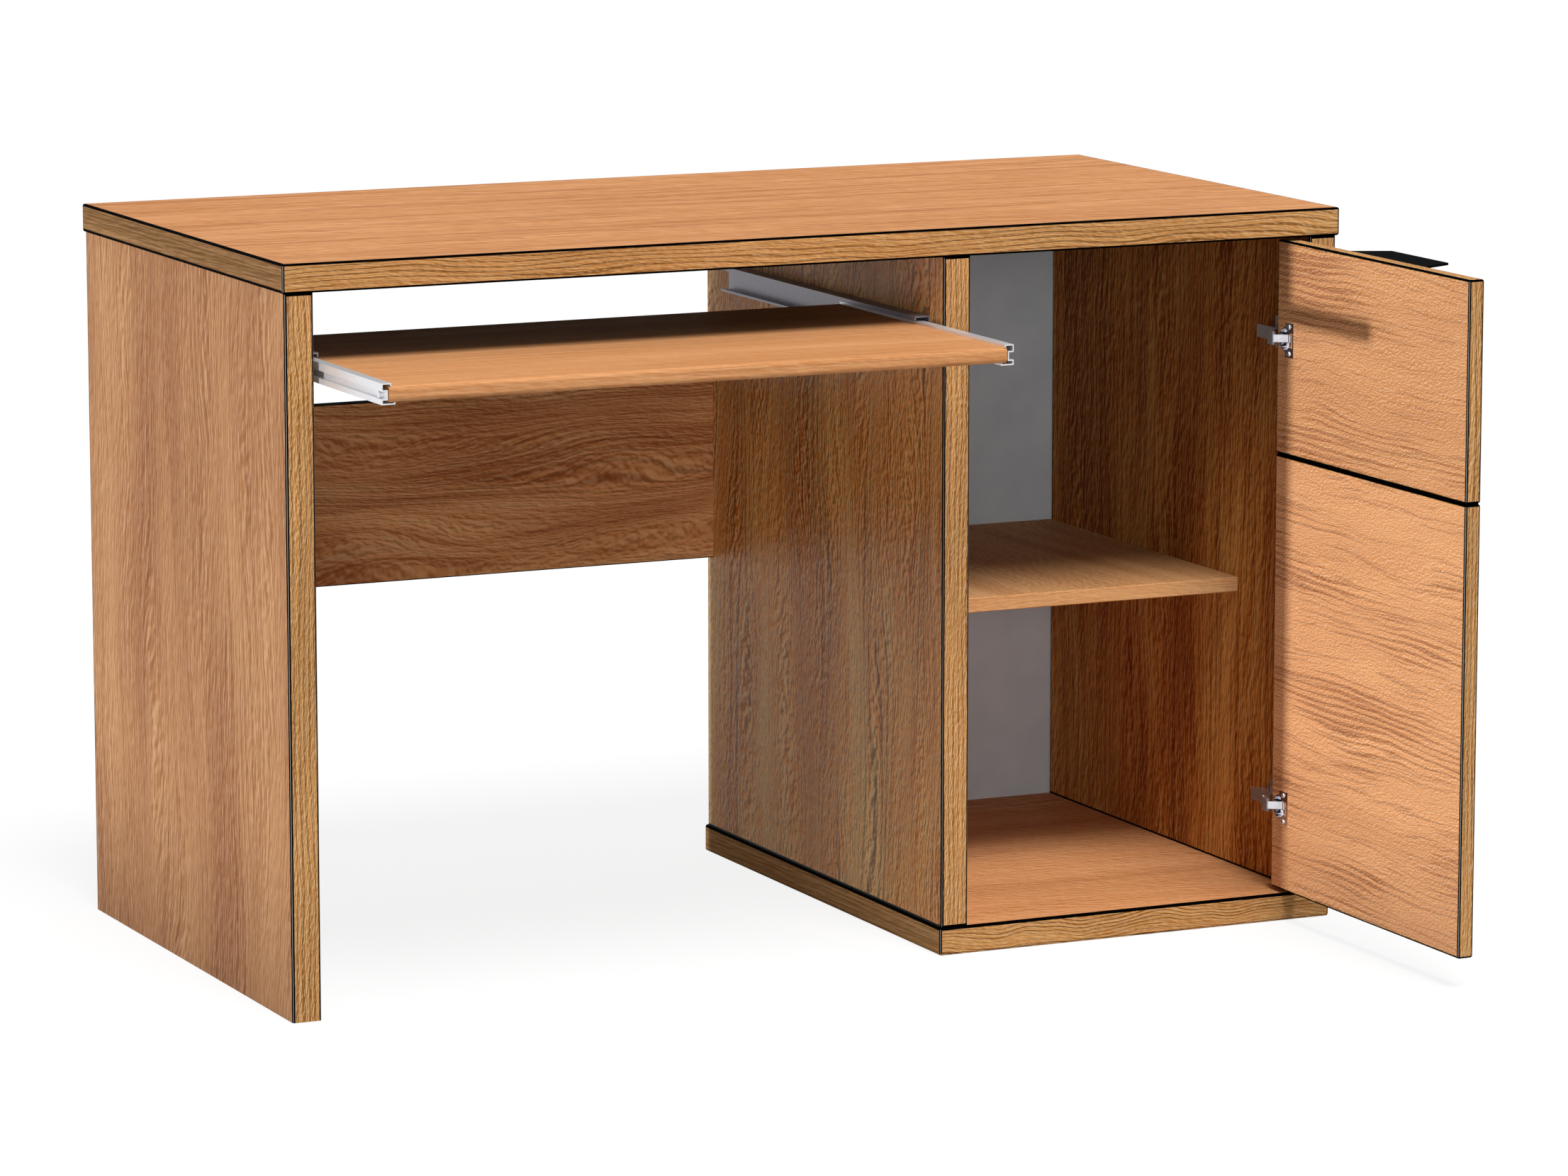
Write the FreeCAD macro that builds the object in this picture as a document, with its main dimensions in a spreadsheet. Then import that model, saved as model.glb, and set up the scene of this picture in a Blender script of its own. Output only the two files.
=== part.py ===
import FreeCAD, Part
import os
import re
import Sketcher
from FreeCAD import Placement, Rotation, Vector

# A panel desk with a pull-out keyboard tray and a cupboard with one hinged door.
# The frame stands on the floor at z 0, +X to the sitter's right, the front towards -Y,
# centred under the box of the desk with its door open and its tray pulled out.

SIZES = {
    # overall
    "top_width": 1200,
    "top_depth": 600,
    "desk_height": 770,
    "top_thickness": 30,
    "upright_thickness": 31,
    "base_thickness": 30,
    "cabinet_width": 465,
    "end_overhang": 2,
    "cabinet_overhang": 4,
    "base_reveal": 2,
    "front_reveal": 1,
    "back_reveal": 4,
    # edge bands, with their milled outer arrises
    "band_thickness": 3,
    "thin_band": 1,
    "arris_radius": 2.6,
    # glued dowels
    "dowel_radius": 4,
    "dowel_length": 36,
    "dowel_inset": 90,
    "dowel_clearance": 0.05,
    "dowel_end_room": 1,
    # modesty panel between the leg and the cabinet
    "modesty_thickness": 16,
    "modesty_height": 200,
    "modesty_bottom": 339,
    "modesty_dowel_inset": 45,
    # cabinet back and its nails
    "back_thickness": 3,
    "back_inset": 4,
    "nail_radius": 0.9,
    "nail_length": 22,
    "nail_head_radius": 2.4,
    "nail_head_height": 0.8,
    "nail_inset": 40,
    "nail_side_inset": 7,
    "nail_clearance": 0.05,
    # shelf and its pins
    "shelf_thickness": 16,
    "shelf_height": 351,
    "shelf_setback": 150,
    "shelf_clearance": 0.5,
    "shelf_round": 1.2,
    "shelf_pin_radius": 2.5,
    "shelf_pin_depth": 10,
    "shelf_pin_reach": 9,
    "shelf_pin_inset": 60,
    "shelf_pin_clearance": 0.05,
    # keyboard tray, pulled out as far as it stands at rest
    "tray_thickness": 16,
    "tray_depth": 390,
    "tray_height": 667,
    "tray_pull": 169,
    "tray_round": 5,
    "rail_space": 12.5,
    "rail_gauge": 1.2,
    # rails on the tray, with a groove along their outer side
    "tray_rail_setback": 1,
    "rail_lap": 2.2,
    "rail_rise": 3,
    "rail_bulge": 7.75,
    "groove_floor": 2.4,
    "groove_top": 5,
    "groove_height": 7.6,
    "rail_drop": 2.2,
    "rail_foot": 6.5,
    "foot_curl": 1.2,
    "stop_pin_radius": 3.4,
    "stop_pin_setback": 10,
    "stop_pin_inner": 0.3,
    "stop_pin_outer": 7.4,
    # rails on the leg and the cabinet
    "case_rail_length": 500,
    "case_rail_setback": 34,
    "case_rail_width": 17.2,
    "case_rail_lip": 3,
    "case_rail_over": 4,
    "case_rail_under": 3,
    "case_foot_width": 11.5,
    "case_foot_lip": 1.2,
    # plastic guides of the rails
    "guide_length": 25,
    "guide_gap": 0.3,
    "guide_top_room": 5,
    "guide_bottom_room": 1.5,
    "nub_depth": 4.7,
    "nub_clearance": 0.2,
    "glide_length": 40,
    # rail screws
    "screw_radius": 1.75,
    "screw_head_radius": 3,
    "screw_head_height": 1.6,
    "screw_length": 13,
    "rail_screw_first": 55,
    "rail_screw_second": 100,
    "rail_screw_third": 25,
    "tray_screw_first": 40,
    "tray_screw_third": 50,
    "tray_screw_inset": 3.4,
    "screw_clearance": 0.05,
    # door of two panels joined edge to edge
    "door_thickness": 18,
    "door_gap": 3.5,
    "upper_door_height": 229.5,
    "split_gap": 1,
    "strip_recess": 2,
    "door_dowel_inset": 60,
    # hinges: a pin in the cup, an arm on a plate
    "hinge_backset": 14,
    "pivot_depth": 9.5,
    "upper_hinge_height": 631,
    "lower_hinge_height": 124,
    "hinge_pin_radius": 1.5,
    "hinge_pin_half": 8.6,
    "hinge_pin_clearance": 0.05,
    "eye_radius": 2.4,
    "link_half_height": 4,
    "link_half_thickness": 0.6,
    "link_angle": 146.5,
    "link_reach": 18,
    "arm_half_height": 7,
    "knuckle_lap": 1.5,
    "knuckle_drop": 0.5,
    "knuckle_width": 3.5,
    "knuckle_length": 9,
    "arm_thickness": 1.5,
    "arm_standoff": 14.5,
    "arm_neck_end": 30,
    "arm_end": 76,
    "plate_thickness": 2,
    "plate_setback": 60,
    "plate_half_width": 10,
    "plate_half_height": 17.5,
    "saddle_half_height": 5.5,
    "saddle_front": 14,
    "saddle_back": 25,
    "plate_screw_offset": 13,
    "cup_radius": 13,
    "cup_wall": 0.8,
    "cup_depth": 12.3,
    "cup_backset": 17.5,
    "cup_clearance": 0.1,
    "flange_thickness": 1.2,
    "ear_inner": 8,
    "ear_outer": 18.5,
    "ear_near": 20.5,
    "ear_far": 37.5,
    "flange_strip": 2,
    "lug_half_width": 3,
    "lug_inner": 4.6,
    "lug_outer": 8,
    "cup_screw_backset": 28,
    "cup_screw_offset": 14.4,
    "cup_screw_length": 11,
    # handle plate on the outer face of the door
    "handle_length": 152,
    "handle_outer_length": 116,
    "handle_reach": 40,
    "handle_thickness": 2.5,
    "handle_flange": 20,
    "handle_drop": 0.5,
    "handle_screw_inset": 22,
    "handle_screw_length": 14,
}

AXES = "xyz"
TURNS = {
    "x": Rotation(Vector(0, 1, 0), 90),
    "y": Rotation(Vector(1, 0, 0), -90),
    "z": Rotation(),
}
HALF_TURN = Rotation(Vector(0, 0, 1), 180)

doc = FreeCAD.newDocument("writing_desk")
sheet = doc.addObject("Spreadsheet::Sheet", "Sizes")
for row, (alias, size) in enumerate(SIZES.items(), 1):
    sheet.set(f"A{row}", alias)
    sheet.set(f"B{row}", str(size))
    sheet.setAlias(f"B{row}", alias)
doc.recompute()

# Places, written with the names of the sizes

left_end = "(-top_width / 2)"
leg_outer = f"({left_end} + end_overhang)"
leg_inner = f"({leg_outer} + upright_thickness)"
right_outer = "(top_width / 2 - cabinet_overhang)"
right_inner = f"({right_outer} - upright_thickness)"
middle_outer = f"({right_outer} - cabinet_width)"
middle_inner = f"({middle_outer} + upright_thickness)"
base_left = f"({middle_outer} - base_reveal)"
base_width = "(cabinet_width + 2 * base_reveal)"

door_width = f"({right_inner} - {middle_inner} - 2 * door_gap)"
door_reach = f"({door_width} - front_reveal - pivot_depth - hinge_backset)"
front = f"(-(top_depth - {door_reach}) / 2)"
back = f"({front} + top_depth)"
upright_front = f"({front} + front_reveal)"
upright_back = f"({back} - back_reveal)"
under_top = "(desk_height - top_thickness)"

tray_left = f"({leg_inner} + rail_space)"
tray_width = f"({middle_outer} - {leg_inner} - 2 * rail_space)"
tray_right = f"({tray_left} + {tray_width})"
tray_front = f"({front} - tray_pull)"
tray_rail_front = f"({tray_front} + tray_rail_setback)"
tray_rail_length = "(tray_depth - tray_rail_setback)"
case_rail_front = f"({front} + case_rail_setback)"
rail_bottom = "(-tray_thickness - rail_drop)"
groove_bottom = "(-groove_top - groove_height)"
case_top = "(rail_rise + 1 + case_rail_lip)"
case_bottom = f"({rail_bottom} - case_rail_under)"

pivot_x = f"({right_inner} - door_gap - hinge_backset)"
pivot_y = f"({upright_front} + pivot_depth)"
door_outer = f"({pivot_x} + pivot_depth)"
door_inner = f"({door_outer} - door_thickness)"
door_hinge_edge = f"({pivot_y} + hinge_backset)"
door_free_edge = f"({door_hinge_edge} - {door_width})"
door_bottom = "(base_thickness + door_gap)"
door_top = f"({under_top} - door_gap)"
split_top = f"({door_top} - upper_door_height)"
split_bottom = f"({split_top} - split_gap)"

nodes = {}


def bound(text):
    def cell(word):
        return f"Sizes.{word.group()}" if word.group() in SIZES else word.group()
    return re.sub(r"[a-z]+(?:_[a-z]+)*", cell, text)


def value(text):
    return float(sheet.evalExpression(bound(text)))


def bind(piece, **texts):
    for name, text in texts.items():
        piece.setExpression(name.replace("_", "."), bound(text))


def place(piece, x, y, z):
    bind(piece, Placement_Base_x=x, Placement_Base_y=y, Placement_Base_z=z)


def node(name, piece):
    piece.Label = name
    nodes[name] = piece
    return piece


def block(name, x, y, z, length, width, height):
    piece = doc.addObject("Part::Box", name)
    bind(piece, Length=length, Width=width, Height=height)
    place(piece, x, y, z)
    return piece


def rod(name, x, y, z, radius, length, direction):
    piece = doc.addObject("Part::Cylinder", name)
    piece.Placement = Placement(Vector(), TURNS[direction])
    bind(piece, Radius=radius, Height=length)
    place(piece, x, y, z)
    return piece


def fused(name, pieces):
    piece = doc.addObject("Part::MultiFuse", name)
    piece.Shapes = pieces
    piece.Refine = True
    return piece


def group(name, pieces):
    piece = doc.addObject("Part::Compound", name)
    piece.Links = pieces
    return piece


def cut(name, base, tools):
    piece = doc.addObject("Part::Cut", name)
    piece.Base = base
    piece.Tool = tools[0] if len(tools) == 1 else group(f"{name}_tools", tools)
    return piece


def planes_of(edge, box):
    limits = {
        "-x": (0, box.XMin), "+x": (0, box.XMax),
        "-y": (1, box.YMin), "+y": (1, box.YMax),
        "-z": (2, box.ZMin), "+z": (2, box.ZMax),
    }
    return {
        side for side, (axis, level) in limits.items()
        if all(abs(vertex.Point[axis] - level) < 1e-6 for vertex in edge.Vertexes)
    }


def rounded(name, base, radius, outer, hidden):
    # rounds the arrises of the outer sides that touch no hidden side
    doc.recompute()
    chosen = []
    for index, edge in enumerate(base.Shape.Edges, 1):
        sides = planes_of(edge, base.Shape.BoundBox)
        if sides & set(outer) and not sides & set(hidden):
            chosen.append((index, radius, radius))
    piece = doc.addObject("Part::Fillet", name)
    piece.Base = base
    piece.Edges = chosen
    return piece


def profile(body, role, corners):
    # a closed outline on an origin plane, each corner bound to the sheet
    sketch = body.newObject("Sketcher::SketchObject", f"{body.Name}_outline")
    plane = next(part for part in body.Origin.OriginFeatures if part.Role == role)
    sketch.AttachmentSupport = [(plane, "")]
    sketch.MapMode = "FlatFace"
    points = [Vector(value(across), value(up), 0) for across, up in corners]
    for start, end in zip(points, points[1:] + points[:1]):
        sketch.addGeometry(Part.LineSegment(start, end))
    for index, (across, up) in enumerate(corners):
        following = (index + 1) % len(corners)
        sketch.addConstraint(Sketcher.Constraint("Coincident", index, 2, following, 1))
        for kind, text in (("DistanceX", across), ("DistanceY", up)):
            constraint = sketch.addConstraint(Sketcher.Constraint(kind, -1, 1, index, 1, value(text)))
            sketch.setExpression(f"Constraints[{constraint}]", bound(text))
    return sketch


def pad(body, role, corners, length, backwards=False):
    feature = body.newObject("PartDesign::Pad", f"{body.Name}_pad")
    feature.Profile = profile(body, role, corners)
    feature.Reversed = backwards
    bind(feature, Length=length)
    return feature


def screw(name, x, y, z, direction, length, ahead, head_height="screw_head_height", sunk=False):
    # a screw whose head lies behind the given point and whose shank runs ahead of it
    step = "+" if ahead else "-"
    back_step = "-" if ahead else "+"
    axis = AXES.index(direction)
    shank_at = [x, y, z]
    head_at = [x, y, z]
    if ahead:
        head_at[axis] = f"({head_at[axis]} {back_step} {head_height})"
    else:
        shank_at[axis] = f"({shank_at[axis]} {step} {length})"
    shank = rod(f"{name}_shank", *shank_at, "screw_radius", length, direction)
    head = rod(f"{name}_head", *head_at, "screw_head_radius", head_height, direction)
    hole = rod(f"{name}_hole", *shank_at, "(screw_radius + screw_clearance)", length, direction)
    if sunk:
        head_room = rod(
            f"{name}_head_room", *head_at, "(screw_head_radius + screw_clearance)", head_height, direction,
        )
        hole = fused(f"{name}_room", [hole, head_room])
    return fused(name, [shank, head]), hole


band_radius = min(value("arris_radius"), 0.9 * value("band_thickness"))

# Dowels: each has its hole, with a little room round it and at its ends

dowel_holes = {"leg": [], "middle": [], "right": []}
dowels = []


def dowel(name, x, y, z, direction):
    axis = AXES.index(direction)
    start = [x, y, z]
    start[axis] = f"({start[axis]} - dowel_length / 2)"
    bore_start = list(start)
    bore_start[axis] = f"({start[axis]} - dowel_end_room)"
    pin = rod(name, *start, "dowel_radius", "dowel_length", direction)
    bore = rod(
        f"{name}_bore", *bore_start, "(dowel_radius + dowel_clearance)",
        "(dowel_length + 2 * dowel_end_room)", direction,
    )
    return pin, bore


upright_middle = {
    "leg": f"({leg_outer} + upright_thickness / 2)",
    "middle": f"({middle_outer} + upright_thickness / 2)",
    "right": f"({right_inner} + upright_thickness / 2)",
}
dowel_rows = [
    f"({upright_front} + dowel_inset)",
    f"(({upright_front} + {upright_back}) / 2)",
    f"({upright_back} - dowel_inset)",
]
top_bores = []
base_bores = []
for side, middle in upright_middle.items():
    for row, depth in enumerate(dowel_rows):
        pin, bore = dowel(f"top_{side}_dowel_{row}", middle, depth, under_top, "z")
        dowels.append(pin)
        top_bores.append(bore)
        dowel_holes[side].append(bore)
        if side != "leg":
            pin, bore = dowel(f"base_{side}_dowel_{row}", middle, depth, "base_thickness", "z")
            dowels.append(pin)
            base_bores.append(bore)
            dowel_holes[side].append(bore)

modesty_front = f"({upright_back} - modesty_thickness)"
modesty_bores = []
for side, face in (("leg", leg_inner), ("middle", middle_outer)):
    for row, height in enumerate((
        "(modesty_bottom + modesty_dowel_inset)",
        "(modesty_bottom + modesty_height - modesty_dowel_inset)",
    )):
        depth = f"({modesty_front} + modesty_thickness / 2)"
        pin, bore = dowel(f"modesty_{side}_dowel_{row}", face, depth, height, "x")
        dowels.append(pin)
        modesty_bores.append(bore)
        dowel_holes[side].append(bore)
node("carcass_dowels", group("carcass_dowels", dowels))

# Shelf pins, in holes of the two cabinet sides

pins = []
pin_holes = {"middle": [], "right": []}
pin_height = "(shelf_height - shelf_thickness - shelf_pin_radius)"
for row, depth in enumerate((
    f"({upright_front} + shelf_setback + shelf_pin_inset)",
    f"({upright_back} - shelf_pin_inset)",
)):
    for side, start, bore_start in (
        ("middle", f"({middle_inner} - shelf_pin_depth)", f"({middle_inner} - shelf_pin_depth)"),
        ("right", f"({right_inner} - shelf_pin_reach)", right_inner),
    ):
        name = f"shelf_pin_{side}_{row}"
        pins.append(rod(
            name, start, depth, pin_height, "shelf_pin_radius",
            "(shelf_pin_depth + shelf_pin_reach)", "x",
        ))
        pin_holes[side].append(rod(
            f"{name}_bore", bore_start, depth, pin_height,
            "(shelf_pin_radius + shelf_pin_clearance)", "shelf_pin_depth", "x",
        ))
node("shelf_pins", group("shelf_pins", pins))

# Nails of the cabinet back

nails = []
nail_holes = {"middle": [], "right": []}
back_outer = f"({upright_back} + back_thickness)"
nail_lines = {
    "middle": f"({middle_inner} - nail_side_inset)",
    "right": f"({right_inner} + nail_side_inset)",
}
nail_step = f"(({under_top} - base_thickness - 2 * nail_inset) / 4)"
for side in nail_holes:
    for row in range(5):
        name = f"nail_{side}_{row}"
        height = f"(base_thickness + nail_inset + {row} * {nail_step})"
        start = f"({back_outer} - nail_length)"
        middle = nail_lines[side]
        shank = rod(f"{name}_shank", middle, start, height, "nail_radius", "nail_length", "y")
        head = rod(
            f"{name}_head", middle, back_outer, height,
            "nail_head_radius", "nail_head_height", "y",
        )
        nails.append(fused(name, [shank, head]))
        nail_holes[side].append(rod(
            f"{name}_bore", middle, start, height,
            "(nail_radius + nail_clearance)", "nail_length", "y",
        ))
node("back_panel_nails", group("back_panel_nails", nails))

# Rails of the tray: the case rails stand on the leg and the cabinet, and the tray hangs between

case_outline = [
    ("0", case_bottom),
    ("case_foot_width", case_bottom),
    ("case_foot_width", f"({case_bottom} + rail_gauge + case_foot_lip)"),
    ("(case_foot_width - rail_gauge)", f"({case_bottom} + rail_gauge + case_foot_lip)"),
    ("(case_foot_width - rail_gauge)", f"({case_bottom} + rail_gauge)"),
    ("rail_gauge", f"({case_bottom} + rail_gauge)"),
    ("rail_gauge", case_top),
    ("(case_rail_width - rail_gauge)", case_top),
    ("(case_rail_width - rail_gauge)", f"({case_top} - case_rail_lip)"),
    ("case_rail_width", f"({case_top} - case_rail_lip)"),
    ("case_rail_width", f"({case_top} + rail_gauge)"),
    ("0", f"({case_top} + rail_gauge)"),
]
tray_outline = [
    ("-rail_lap", "0"),
    ("-rail_lap", "rail_rise"),
    ("rail_bulge", "rail_rise"),
    ("rail_bulge", "-groove_top"),
    ("groove_floor", "-groove_top"),
    ("groove_floor", groove_bottom),
    ("rail_bulge", groove_bottom),
    ("rail_bulge", rail_bottom),
    ("-rail_foot", rail_bottom),
    ("-rail_foot", "-tray_thickness"),
    ("(foot_curl - rail_foot)", "-tray_thickness"),
    ("(foot_curl - rail_foot)", f"({rail_bottom} + rail_gauge)"),
    ("(rail_bulge - rail_gauge)", f"({rail_bottom} + rail_gauge)"),
    ("(rail_bulge - rail_gauge)", f"({groove_bottom} - rail_gauge)"),
    ("(groove_floor - rail_gauge)", f"({groove_bottom} - rail_gauge)"),
    ("(groove_floor - rail_gauge)", "(rail_gauge - groove_top)"),
    ("(rail_bulge - rail_gauge)", "(rail_gauge - groove_top)"),
    ("(rail_bulge - rail_gauge)", "(rail_rise - rail_gauge)"),
    ("(rail_gauge - rail_lap)", "(rail_rise - rail_gauge)"),
    ("(rail_gauge - rail_lap)", "0"),
]


def rail(name, outline, length, x, y, turned):
    body = doc.addObject("PartDesign::Body", name)
    body.Placement = Placement(Vector(), HALF_TURN if turned else Rotation())
    pad(body, "XZ_Plane", outline, length, backwards=True)
    place(body, x, f"({y} + {length})" if turned else y, "tray_height")
    return body


case_rails = {
    "left": rail("left_case_rail_bar", case_outline, "case_rail_length", leg_inner, case_rail_front, False),
    "right": rail("right_case_rail_bar", case_outline, "case_rail_length", middle_outer, case_rail_front, True),
}
tray_rails = {
    "left": rail("left_tray_rail_bar", tray_outline, tray_rail_length, tray_left, tray_rail_front, True),
    "right": rail("right_tray_rail_bar", tray_outline, tray_rail_length, tray_right, tray_rail_front, False),
}


def from_panel(side, distance, width):
    # the lower X of something that starts a distance away from the panel the rail is on
    if side == "left":
        return f"({leg_inner} + {distance})"
    return f"({middle_outer} - {distance} - {width})"


rail_screw_rows = {
    "first": f"({case_rail_front} + rail_screw_first)",
    "second": f"({case_rail_front} + case_rail_length - rail_screw_second)",
    "third": f"({case_rail_front} + case_rail_length - rail_screw_third)",
}
tray_screw_rows = {
    "first": f"({tray_front} + tray_screw_first)",
    "second": f"({tray_front} + tray_depth / 2)",
    "third": f"({tray_front} + tray_depth - tray_screw_third)",
}
rail_screws = []
tray_screws = []
screw_holes = {"left": [], "right": []}
tray_bores = []
for side in ("left", "right"):
    holes = []
    for number, depth in rail_screw_rows.items():
        height = "(tray_height - tray_thickness / 2)"
        face = from_panel(side, "0", "0")
        piece, hole = screw(
            f"{side}_rail_screw_{number}", face, depth, height, "x",
            "screw_length", side == "right", "rail_gauge", sunk=True,
        )
        rail_screws.append(piece)
        holes.append(hole)
    screw_holes[side] = holes
    node(f"{side}_case_rail", cut(f"{side}_case_rail", case_rails[side], holes))

    foot_holes = []
    for number, depth in tray_screw_rows.items():
        edge = f"({tray_left} + tray_screw_inset)" if side == "left" else f"({tray_right} - tray_screw_inset)"
        piece, hole = screw(
            f"{side}_tray_screw_{number}", edge, depth, f"(tray_height + {rail_bottom})",
            "z", "screw_length", True,
        )
        tray_screws.append(piece)
        foot_holes.append(hole)
    tray_bores += foot_holes

    if side == "left":
        stop_at = f"({tray_left} - stop_pin_outer)"
        stop = (
            stop_at, f"({tray_rail_front} + stop_pin_setback)",
            "(tray_height - groove_top - groove_height / 2)",
        )
        stop_length = "(stop_pin_outer - stop_pin_inner)"
        node("tray_stop_pin", rod("tray_stop_pin", *stop, "stop_pin_radius", stop_length, "x"))
        foot_holes = foot_holes + [
            rod("tray_stop_pin_hole", *stop, "stop_pin_radius", stop_length, "x"),
        ]
    node(f"{side}_tray_rail", cut(f"{side}_tray_rail", tray_rails[side], foot_holes))

    plate_width = "(rail_space - rail_bulge - rail_gauge - guide_gap)"
    guide_plate = block(
        f"{side}_guide_plate", from_panel(side, "rail_gauge", plate_width), case_rail_front,
        f"(tray_height + {case_bottom} + rail_gauge + guide_bottom_room)", plate_width, "guide_length",
        f"({case_top} - {case_bottom} - rail_gauge - guide_bottom_room - guide_top_room)",
    )
    guide_nub = block(
        f"{side}_guide_nub", from_panel(side, f"(rail_gauge + {plate_width})", "nub_depth"),
        case_rail_front, f"(tray_height + {groove_bottom} + nub_clearance)", "nub_depth",
        "guide_length", "(groove_height - 2 * nub_clearance)",
    )
    node(f"{side}_rail_guide", fused(f"{side}_rail_guide", [guide_plate, guide_nub]))

    glide_width = "(rail_space - rail_bulge - rail_gauge - guide_gap)"
    glide_back = f"({tray_front} + tray_depth - glide_length)"
    glide_pad = block(
        f"{side}_glide_pad", from_panel(side, "(rail_gauge + guide_gap)", glide_width), glide_back,
        f"(tray_height + {case_bottom} + rail_gauge + guide_gap)", glide_width, "glide_length",
        f"({case_top} - {case_bottom} - rail_gauge - 2 * guide_gap)",
    )
    glide_key = block(
        f"{side}_glide_key", from_panel(side, "(rail_space - rail_bulge)", "(rail_bulge - groove_floor)"),
        glide_back, f"(tray_height + {groove_bottom})", "(rail_bulge - groove_floor)",
        "glide_length", "groove_height",
    )
    node(f"{side}_rear_glide", fused(f"{side}_rear_glide", [glide_pad, glide_key]))
node("case_rail_screws", group("case_rail_screws", rail_screws))
node("tray_rail_screws", group("tray_rail_screws", tray_screws))

tray_board = block(
    "tray_board", tray_left, tray_front, "(tray_height - tray_thickness)",
    tray_width, "tray_depth", "tray_thickness",
)
tray_radius = min(value("tray_round"), 0.45 * value("tray_thickness"))
tray_rounded = rounded("tray_rounded", tray_board, tray_radius, ["-y"], ["-x", "+x"])
node("keyboard_tray", cut("keyboard_tray", tray_rounded, tray_bores))

# Hinges: plate, arm and pin on the cabinet side, cup on the door

plate_screws = []
fixing_screws = []
hinge_pins = []
cup_screws = []
right_screw_holes = []
door_bores = {"upper": [], "lower": []}
link_cos = "cos(link_angle * 1 deg)"
link_sin = "sin(link_angle * 1 deg)"
arm_face = "(door_gap + hinge_backset - arm_standoff)"
knuckle_x = f"(link_reach * {link_cos} + knuckle_lap)"
knuckle_y = f"(link_reach * {link_sin} - knuckle_drop)"
link_outline = [
    (f"(link_half_thickness * {link_sin})", f"(-link_half_thickness * {link_cos})"),
    (
        f"(link_reach * {link_cos} + link_half_thickness * {link_sin})",
        f"(link_reach * {link_sin} - link_half_thickness * {link_cos})",
    ),
    (
        f"(link_reach * {link_cos} - link_half_thickness * {link_sin})",
        f"(link_reach * {link_sin} + link_half_thickness * {link_cos})",
    ),
    (f"(-link_half_thickness * {link_sin})", f"(link_half_thickness * {link_cos})"),
]
arm_outline = [
    (knuckle_x, knuckle_y),
    (knuckle_x, f"({knuckle_y} + knuckle_length)"),
    (arm_face, "arm_neck_end"),
    (arm_face, "arm_end"),
    (f"({arm_face} - arm_thickness)", "arm_end"),
    (f"({arm_face} - arm_thickness)", "(arm_neck_end + arm_thickness)"),
    (f"({knuckle_x} - knuckle_width)", f"({knuckle_y} + knuckle_length + arm_thickness)"),
    (f"({knuckle_x} - knuckle_width)", knuckle_y),
]
cup_y = f"({door_hinge_edge} - cup_backset)"

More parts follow.
